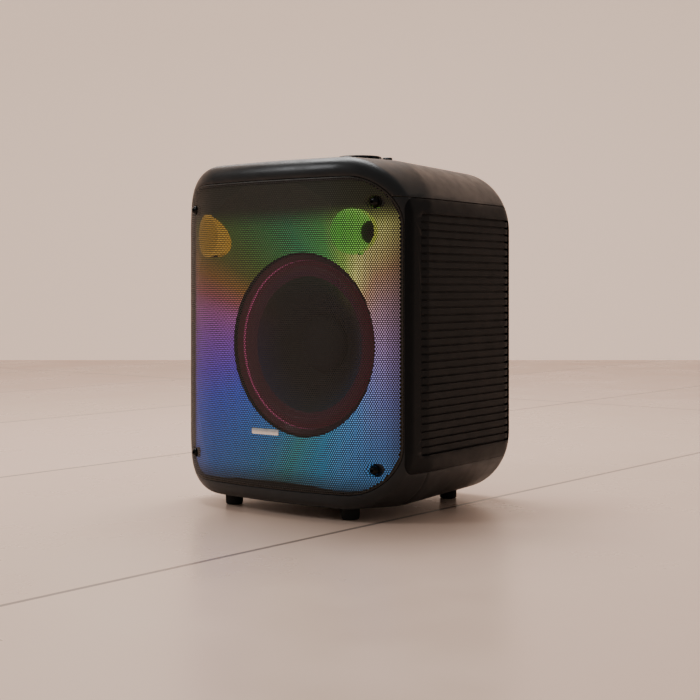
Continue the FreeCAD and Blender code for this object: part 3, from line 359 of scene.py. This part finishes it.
def paper_cone(name, colour):
    """Coated pulp: fibres, fine rings and an uneven dull surface, with a painted reflection of the LEDs'
    colours on its rim.
    """
    n = Nodes(name)
    fibre = n.noise(1400.0, 6.0, 0.75)
    n.tone(fibre, colour, 0.7, 1.35)
    n.gloss(fibre, 0.6, 0.85)
    # painted reflection: the LEDs' colours on the cone's rim, given as emission
    n.link(rainbow(n), n.shader.inputs["Emission Color"])
    n.link(smooth(n, woofer_radius(n), 0.0, CONE_PAINTED_LIGHT, *CONE_RADII), n.shader.inputs["Emission Strength"])
    n.bump(ring_waves(n, 70.0), 0.35, 0.0002)
    n.bump(fibre, 0.4, 0.0001)
    return n.material


def cloth(name, colour):
    """Woven cloth: threads in tone and in relief."""
    n = Nodes(name)
    weave = n.add("ShaderNodeTexWave", Scale=420.0)
    n.link(n.coords(), weave.inputs["Vector"])
    threads = [(0.2, scaled(colour, 0.7)), (0.8, colour)]
    n.link(n.ramp(weave.outputs["Fac"], threads), n.shader.inputs["Base Color"])
    n.shader.inputs["Roughness"].default_value = 0.9
    n.shader.inputs["Sheen Weight"].default_value = 0.2
    n.bump(weave.outputs["Fac"], 0.5, 0.0002)
    return n.material


# ---- materials by record slot -------------------------------------------------------------------
MATERIALS = {
    "cabinet_plastic": moulded("cabinet_plastic", (0.020, 0.021, 0.022), 0.46, shine=0.3),
    "cover_plastic": moulded("cover_plastic", (0.008, 0.0086, 0.0092), 0.36, shine=0.45),
    "panel_plastic": moulded("panel_plastic", (0.007, 0.0078, 0.0086), 0.42, shine=0.10),
    "rear_plastic": moulded("rear_plastic", (0.010, 0.010, 0.010), 0.55, grain_scale=1500.0, grain=0.5),
    "grille_steel": coated_metal("grille_steel", (0.030, 0.026, 0.021), 0.5),
    "bolt_steel": coated_metal("bolt_steel", (0.010, 0.010, 0.010), 0.28, metallic=0.8),
    "badge_metal": brushed("badge_metal", (0.75, 0.75, 0.76), 0.3),
    "foot_rubber": rubber("foot_rubber", (0.010, 0.010, 0.010), 0.75),
    "baffle_board": moulded("baffle_board", (0.004, 0.004, 0.004), 0.6),
    "diffuser": milky("diffuser", (0.070, 0.062, 0.048), 1.15),
    "ring_clear": tinted_glow("ring_clear", (0.02, 0.006, 0.008), RING_GLOW, right_share=0.15),
    "circuit_board": circuit("circuit_board"),
    "basket_steel": coated_metal("basket_steel", (0.02, 0.02, 0.02), 0.4),
    # the rubber surround gives no light of its own; its emission is painted coloured light from the LEDs
    "rubber_surround": tinted_glow("rubber_surround", (0.016, 0.008, 0.009), ROLL_PAINTED_GLOW, rings=60.0),
    "spider_cloth": cloth("spider_cloth", (0.42, 0.26, 0.06)),
    # the cone's emission is a painted reflection of the LEDs' light on its rim
    "cone_paper": paper_cone("cone_paper", (0.030, 0.029, 0.032)),
    "coil_copper": brushed("coil_copper", (0.72, 0.33, 0.16), 0.35, (60.0, 1.0, 60.0)),
    "plate_steel": brushed("plate_steel", (0.55, 0.56, 0.58), 0.35),
    "magnet_ferrite": coated_metal("magnet_ferrite", (0.05, 0.05, 0.055), 0.7, metallic=0.3),
    "horn_plastic": lit_horn("horn_plastic", (0.10, 0.10, 0.08), 1.05),
    "dome_film": moulded("dome_film", (0.008, 0.007, 0.010), 0.3),
    "tray_plastic": moulded("tray_plastic", (0.03, 0.03, 0.03), 0.55),
    "battery_sleeve": moulded("battery_sleeve", (0.02, 0.09, 0.30), 0.3),
    "sink_aluminium": brushed("sink_aluminium", (0.62, 0.63, 0.65), 0.4, (60.0, 60.0, 1.0)),
    "jack_plastic": moulded("jack_plastic", (0.010, 0.010, 0.010), 0.35),
    "socket_steel": brushed("socket_steel", (0.60, 0.60, 0.60), 0.3),
    "deck_plastic": moulded("deck_plastic", (0.008, 0.008, 0.0085), 0.25, grain=0.08, coat=0.3),
    "knob_plastic": moulded("knob_plastic", (0.012, 0.012, 0.0125), 0.4),
    "button_rubber": moulded("button_rubber", (0.012, 0.012, 0.0125), 0.38),
}


def paint_nodes():
    """Give every CAD node the material of its slot."""
    for part in frame["record"]["subparts"]:
        node = NODES[part["node"]]
        node.data.materials.clear()
        node.data.materials.append(MATERIALS[part["material_slot"]])


# ---- the perforated grille ----------------------------------------------------------------------
A1 = math.asin(BARREL_X1 / BARREL_R1)
SIDE_CX = BARREL_X1 - BARREL_R2 * math.sin(A1)
SIDE_CY = CROWN_Y + BARREL_R1 - (BARREL_R1 - BARREL_R2) * math.cos(A1)


def barrel_y(x):
    """Front surface of the barrel curve at x."""
    x = abs(x)
    if x < BARREL_X1:
        return CROWN_Y + BARREL_R1 - math.sqrt(BARREL_R1 ** 2 - x ** 2)
    return SIDE_CY - math.sqrt(BARREL_R2 ** 2 - (x - SIDE_CX) ** 2)


def arc_to_x(u):
    """Position across for a distance u along the barrel curve, so that holes keep their pitch."""
    side = math.copysign(1.0, u)
    u = abs(u)
    middle = BARREL_R1 * A1
    if u < middle:
        return side * BARREL_R1 * math.sin(u / BARREL_R1)
    return side * (SIDE_CX + BARREL_R2 * math.sin(A1 + (u - middle) / BARREL_R2))


GRILLE_CZ = (GRILLE_Z0 + GRILLE_Z1) / 2
GRILLE_HALF_H = (GRILLE_Z1 - GRILLE_Z0) / 2
RIM_CORNER_STEPS = 16
RIM_ACROSS_STEPS = 40           # the barrel curve needs them
RIM_UP_STEPS = 2
RIM_ROLL_STEPS = 5


def outline_distance(x, z, inset):
    """Distance to the grille's rounded outline shrunk by inset, negative inside, and its nearest point."""
    r = GRILLE_R - inset
    core_x = GRILLE_HALF_W - GRILLE_R
    core_z = GRILLE_HALF_H - GRILLE_R
    dx, dz = abs(x) - core_x, abs(z - GRILLE_CZ) - core_z
    if dx > 0 and dz > 0:
        reach = math.hypot(dx, dz)
        distance = reach - r
        near = (core_x + dx / reach * r, core_z + dz / reach * r)
    elif dx > dz:
        distance = dx - r
        near = (core_x + r, abs(z - GRILLE_CZ))
    else:
        distance = dz - r
        near = (abs(x), core_z + r)
    return distance, (math.copysign(near[0], x), GRILLE_CZ + math.copysign(near[1], z - GRILLE_CZ))


def dimple(x, z):
    """How far the sheet is pressed back round the four screws."""
    depth = 0.0
    for sx in (-SCREW_X, SCREW_X):
        for sz in SCREW_ZS:
            near = math.hypot((x - sx) * DIMPLE_SQUEEZE, z - sz) / DIMPLE_R
            if near < 1.0:
                t = max(0.0, (near - DIMPLE_FLAT) / (1 - DIMPLE_FLAT))
                depth = max(depth, DIMPLE_DEPTH * (0.5 + 0.5 * math.cos(math.pi * t)))
    return depth


def build_grille():
    """One sheet with a hexagonal lattice of holes, clipped to the rounded outline.

    Each cell of the lattice is a hexagon of six corners. It is a hole, or filled near the outline.
    """
    row = HOLE_PITCH * math.sqrt(3) / 2
    hole_r = HOLE_PITCH * HOLE_SIZE / math.sqrt(3)
    half_u = BARREL_R1 * A1 + BARREL_R2 * (math.asin((GRILLE_HALF_W - SIDE_CX) / BARREL_R2) - A1)
    columns = int(half_u / HOLE_PITCH) + 2
    rows = int(GRILLE_HALF_H / row) + 2
    verts, faces, ring_of = [], [], {}
    inset = ROLL_R
    turns = [math.radians(60 * k) for k in range(6)]

    def corner(u, z):
        """Add a hole's corner, moved onto the outline if it lies outside, and say if it was inside."""
        x = arc_to_x(max(-half_u, min(half_u, u)))
        distance, near = outline_distance(x, z, inset)
        inside = distance < 0
        if not inside:
            x, z = near
        verts.append((x, barrel_y(x) + dimple(x, z), z))
        return inside

    for j in range(-rows, rows + 1):
        for i in range(-columns, columns + 1):
            u = (i + 0.5 * (j % 2)) * HOLE_PITCH
            z = GRILLE_CZ + j * row
            x = arc_to_x(max(-half_u, min(half_u, u)))
            distance = outline_distance(x, z, inset)[0]
            if distance > HOLE_PITCH * CELL_MARGIN:
                continue
            start = len(verts)
            inside = [corner(u + hole_r * math.sin(a), z + hole_r * math.cos(a)) for a in turns]
            ring_of[i, j] = (start, any(inside))
            is_open = distance < -HOLE_PITCH * OPEN_MARGIN
            if not is_open and any(inside):
                faces.append([start + k for k in range(5, -1, -1)])

    def step(i, j, di, dj):
        """Neighbour cell: the next in the row, or in the row above the left (di 0) or right (di 1) one."""
        if dj == 0:
            return i + di, j
        shift = j % 2
        return i + di - 1 + shift, j + dj

    def web(cells_corners):
        """A face of the sheet between cells, left out if no cell of it reaches inside the outline."""
        if any(ring_of[cell][1] for cell, _ in cells_corners):
            faces.append([ring_of[cell][0] + k for cell, k in cells_corners])

    for i, j in list(ring_of):
        right, up_left, up_right = step(i, j, 1, 0), step(i, j, 0, 1), step(i, j, 1, 1)
        here = (i, j)
        if right in ring_of:
            web([(here, 2), (here, 1), (right, 5), (right, 4)])
        if up_right in ring_of:
            web([(here, 1), (here, 0), (up_right, 4), (up_right, 3)])
        if up_left in ring_of:
            web([(here, 0), (here, 5), (up_left, 3), (up_left, 2)])
        if right in ring_of and up_right in ring_of:
            web([(here, 1), (up_right, 3), (right, 5)])
        if up_left in ring_of and up_right in ring_of:
            web([(here, 0), (up_left, 2), (up_right, 4)])
    return verts, faces


def rolled_rim():
    """The grille's rolled edge and the flange that goes back into the groove."""
    verts, faces, points = [], [], []
    core_x, core_z = GRILLE_HALF_W - GRILLE_R, GRILLE_HALF_H - GRILLE_R
    for quarter, (sx, sz) in enumerate([(1, 1), (-1, 1), (-1, -1), (1, -1)]):
        for k in range(RIM_CORNER_STEPS + 1):
            a = math.pi / 2 * (quarter + k / RIM_CORNER_STEPS)
            points.append((sx * core_x, sz * core_z, math.cos(a), math.sin(a)))
        following = [(-1, 1), (-1, -1), (1, -1), (1, 1)][quarter]
        straight = RIM_ACROSS_STEPS if quarter % 2 == 0 else RIM_UP_STEPS
        for k in range(1, straight):
            t = k / straight
            points.append(((sx + (following[0] - sx) * t) * core_x, (sz + (following[1] - sz) * t) * core_z,
                           math.cos(math.pi / 2 * (quarter + 1)), math.sin(math.pi / 2 * (quarter + 1))))
    profile = [(ROLL_R * math.sin(a), ROLL_R * (1 - math.cos(a)))
               for a in [math.pi / 2 * k / RIM_ROLL_STEPS for k in range(RIM_ROLL_STEPS + 1)]]
    profile.append((ROLL_R, FLANGE_DEPTH))
    for out, back in profile:
        for cx, cz, nx, nz in points:
            r = GRILLE_R - ROLL_R
            base_x = cx + nx * r
            x, z = base_x + nx * out, GRILLE_CZ + cz + nz * (r + out)
            verts.append((x, barrel_y(base_x) + back, z))
    count = len(points)
    for level in range(len(profile) - 1):
        for k in range(count):
            a, b = level * count + k, level * count + (k + 1) % count
            faces.append([a, b, b + count, a + count])
    return verts, faces


def new_mesh(name, verts, faces, material):
    """A smooth-shaded object in the scene."""
    mesh = bpy.data.meshes.new(name)
    mesh.from_pydata(verts, [], faces)
    mesh.validate()
    mesh.update()
    mesh.shade_smooth()
    mesh.materials.append(material)
    piece = bpy.data.objects.new(name, mesh)
    bpy.context.scene.collection.objects.link(piece)
    return piece


def perforated_grille():
    """The visual grille, which stands in for the solid one of the CAD."""
    verts, faces = build_grille()
    rim_verts, rim_faces = rolled_rim()
    offset = len(verts)
    verts += rim_verts
    faces += [[i + offset for i in face] for face in rim_faces]
    piece = new_mesh("perforated_grille", verts, faces, MATERIALS["grille_steel"])
    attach(piece, "cabinet")
    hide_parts("grille")


# ---- the woofer's surround ----------------------------------------------------------------------
CONE_LO, CONE_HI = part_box("woofer_cone")
GLUE_OVERLAP = 1.5 * MM         # how far the surround laps over the cone
ROLL_IN_R = (CONE_HI[0] - CONE_LO[0]) / 2 - GLUE_OVERLAP
ROLL_OUT_R = (WOOFER_HI[0] - WOOFER_LO[0]) / 2
ROLL_SECTORS = 20
ROLL_STEPS = 22
SECTOR_STEPS = 6
LAND = 2.0 * MM                 # flat glued edge on both sides of the half-roll
LAND_DROP = 1.2 * MM            # how far the glued edge lies in front of the CAD surround's rear
CREST_GAP = 0.3 * MM            # how far the crest stays behind the CAD surround's front, without ribs
RIBS = 7
RIB_HEIGHT = 0.22 * MM
RIM_GAP = 0.2 * MM              # how much smaller it is than the CAD surround at its outer edge


def roll_profile():
    """(radius, y) across the surround, from the cone's edge to the basket."""
    base = WOOFER_HI[1] - LAND_DROP
    rise = base - WOOFER_LO[1] - CREST_GAP
    points = [(ROLL_IN_R, base)]
    start, end = ROLL_IN_R + LAND, ROLL_OUT_R - LAND
    for k in range(ROLL_STEPS + 1):
        t = k / ROLL_STEPS
        rib = RIB_HEIGHT * math.cos(2 * math.pi * RIBS * t) * math.sin(math.pi * t)
        points.append((start + (end - start) * t, base - (rise * math.sin(math.pi * t)) - rib))
    points.append((ROLL_OUT_R - RIM_GAP, base))
    return points


def rubber_roll():
    """The half-roll surround in sectors, each stretching between the basket and the cone."""
    profile = roll_profile()
    for s in range(ROLL_SECTORS):
        verts, faces = [], []
        for j in range(SECTOR_STEPS + 1):
            a = 2 * math.pi * (s + j / SECTOR_STEPS) / ROLL_SECTORS
            verts += [(r * math.cos(a), y, WOOFER_Z + r * math.sin(a)) for r, y in profile]
        across = len(profile)
        for j in range(SECTOR_STEPS):
            for k in range(across - 1):
                a = j * across + k
                faces.append([a, a + 1, a + 1 + across, a + across])
        piece = new_mesh("surround_%02d" % s, verts, faces, MATERIALS["rubber_surround"])
        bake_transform(piece)
        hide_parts("woofer_surround")


# ---- soft edges on the moulded parts ------------------------------------------------------------
# Width of each node's rounding, in millimetres.
SOFT_NODES = {"side_panel_left": 0.35, "side_panel_right": 0.35, "control_deck": 0.3,
              "rear_panel": 0.4, "io_panel": 0.4, "top_cover": 0.25, "cabinet_shell": 0.25,
              "front_bezel": 0.4, "rubber_feet": 0.5, "volume_knob": 0.25, "switch_frame": 0.25,
              "power_inlet": 0.3, "badge": 0.25}
WELD_REACH = 0.00001
SHARP_ANGLE = math.radians(32.0)    # edges sharper than this are rounded


def soften(name, width):
    """Merge the node's triangles and give its sharp edges a small rounding that catches the light."""
    node = NODES[name]
    weld = node.modifiers.new("weld", "WELD")
    weld.merge_threshold = WELD_REACH
    bevel = node.modifiers.new("bevel", "BEVEL")
    bevel.width = width * MM
    bevel.segments = 2
    bevel.limit_method = "ANGLE"
    bevel.angle_limit = SHARP_ANGLE
    bevel.use_clamp_overlap = True
    bevel.harden_normals = True


# ---- camera, floor and light --------------------------------------------------------------------
CAMERA_PLACE = (0.947, -1.201, 0.239)
VIEW_TURN = math.radians(38.0)      # direction of the view, and the wall stands square to it
WALL_PLACE = (-1.79, 2.31, 2.5)
WALL_SCALE = (12.0, 5.0, 1.0)
FLOOR_SIZE = 16.0
TILE_WIDTH = 0.571
TILE_LENGTH = 2.4
TILE_JOINT = 0.003
TILE_TURN = math.radians(1.0)
TILE_PLACE = (-0.12, -1.30, 0.0)
TILE_COLOURS = {"Color1": (0.86, 0.62, 0.49, 1.0), "Color2": (0.82, 0.59, 0.46, 1.0),
                "Mortar": (0.30, 0.22, 0.18, 1.0)}
LIT_PLACE = (0.0, 0.0, 0.2)         # the lights point here
# name, place, size, power in watts, colour
LIGHTS = [("top_light", (-0.5, 0.35, 1.9), (1.3, 0.9), 36.0, (1.0, 1.0, 1.0)),
          ("back_light", (-1.5, 1.2, 1.7), (1.0, 1.0), 6.0, (1.0, 0.97, 0.94)),
          ("front_light", (-1.1, -1.7, 1.6), (0.8, 0.8), 15.0, (0.97, 0.98, 1.0))]


def set_camera():
    camera = bpy.data.cameras.new("camera")
    camera.lens = 70.3
    camera.sensor_width = 36.0
    camera.shift_y = -0.0904
    rig = bpy.data.objects.new("camera", camera)
    rig.location = CAMERA_PLACE
    rig.rotation_euler = (math.radians(90.0), 0.0, VIEW_TURN)
    bpy.context.scene.collection.objects.link(rig)
    bpy.context.scene.camera = rig


def soft_light(name, place, size, power, colour):
    """A rectangular area light that points at the object."""
    lamp = bpy.data.lights.new(name, "AREA")
    lamp.shape = "RECTANGLE"
    lamp.size, lamp.size_y = size
    lamp.energy = power
    lamp.color = colour
    rig = bpy.data.objects.new(name, lamp)
    rig.location = place
    rig.rotation_euler = (Vector(LIT_PLACE) - Vector(place)).to_track_quat("-Z", "Y").to_euler()
    bpy.context.scene.collection.objects.link(rig)


def wall_and_floor():
    """A tiled floor that ends at a plain wall, as in a bright room."""
    bpy.ops.mesh.primitive_plane_add(size=FLOOR_SIZE, location=(0.0, 0.0, 0.0))
    floor = bpy.context.object
    floor.name = "studio_floor"
    n = Nodes("floor_tiles")
    tiles = n.add("ShaderNodeTexBrick", Scale=1.0)
    tiles.offset = 0.0
    for key, value in TILE_COLOURS.items():
        tiles.inputs[key].default_value = value
    tiles.inputs["Mortar Size"].default_value = TILE_JOINT
    tiles.inputs["Brick Width"].default_value = TILE_WIDTH
    tiles.inputs["Row Height"].default_value = TILE_LENGTH
    turned = n.add("ShaderNodeMapping")
    turned.inputs["Rotation"].default_value = (0.0, 0.0, TILE_TURN)
    turned.inputs["Location"].default_value = TILE_PLACE
    n.link(n.coords(), turned.inputs["Vector"])
    n.link(turned.outputs["Vector"], tiles.inputs["Vector"])
    n.link(tiles.outputs["Color"], n.shader.inputs["Base Color"])
    n.gloss(n.noise(5.0, 6.0), 0.22, 0.40)
    floor.data.materials.append(n.material)

    upright = (math.radians(90), 0, VIEW_TURN)
    bpy.ops.mesh.primitive_plane_add(size=1.0, location=WALL_PLACE, rotation=upright)
    wall = bpy.context.object
    wall.name = "studio_wall"
    wall.scale = WALL_SCALE
    n = Nodes("wall_paint")
    paint = [(NOISE_LOW, (0.66, 0.58, 0.52)), (NOISE_HIGH, (0.78, 0.71, 0.65))]
    n.link(n.ramp(n.noise(1.2, 3.0), paint), n.shader.inputs["Base Color"])
    n.gloss(n.noise(30.0), 0.8, 0.95)
    n.shader.inputs["Emission Color"].default_value = (0.90, 0.63, 0.48, 1.0)
    n.shader.inputs["Emission Strength"].default_value = 0.78
    wall.data.materials.append(n.material)


def studio():
    world = bpy.data.worlds.new("studio")
    world.use_nodes = True
    background = world.node_tree.nodes["Background"]
    background.inputs["Color"].default_value = (0.90, 0.88, 0.86, 1.0)
    background.inputs["Strength"].default_value = 0.27
    bpy.context.scene.world = world
    wall_and_floor()
    for light in LIGHTS:
        soft_light(*light)


set_camera()
studio()
paint_nodes()
for soft_name, soft_width in SOFT_NODES.items():
    soften(soft_name, soft_width)
perforated_grille()
rubber_roll()
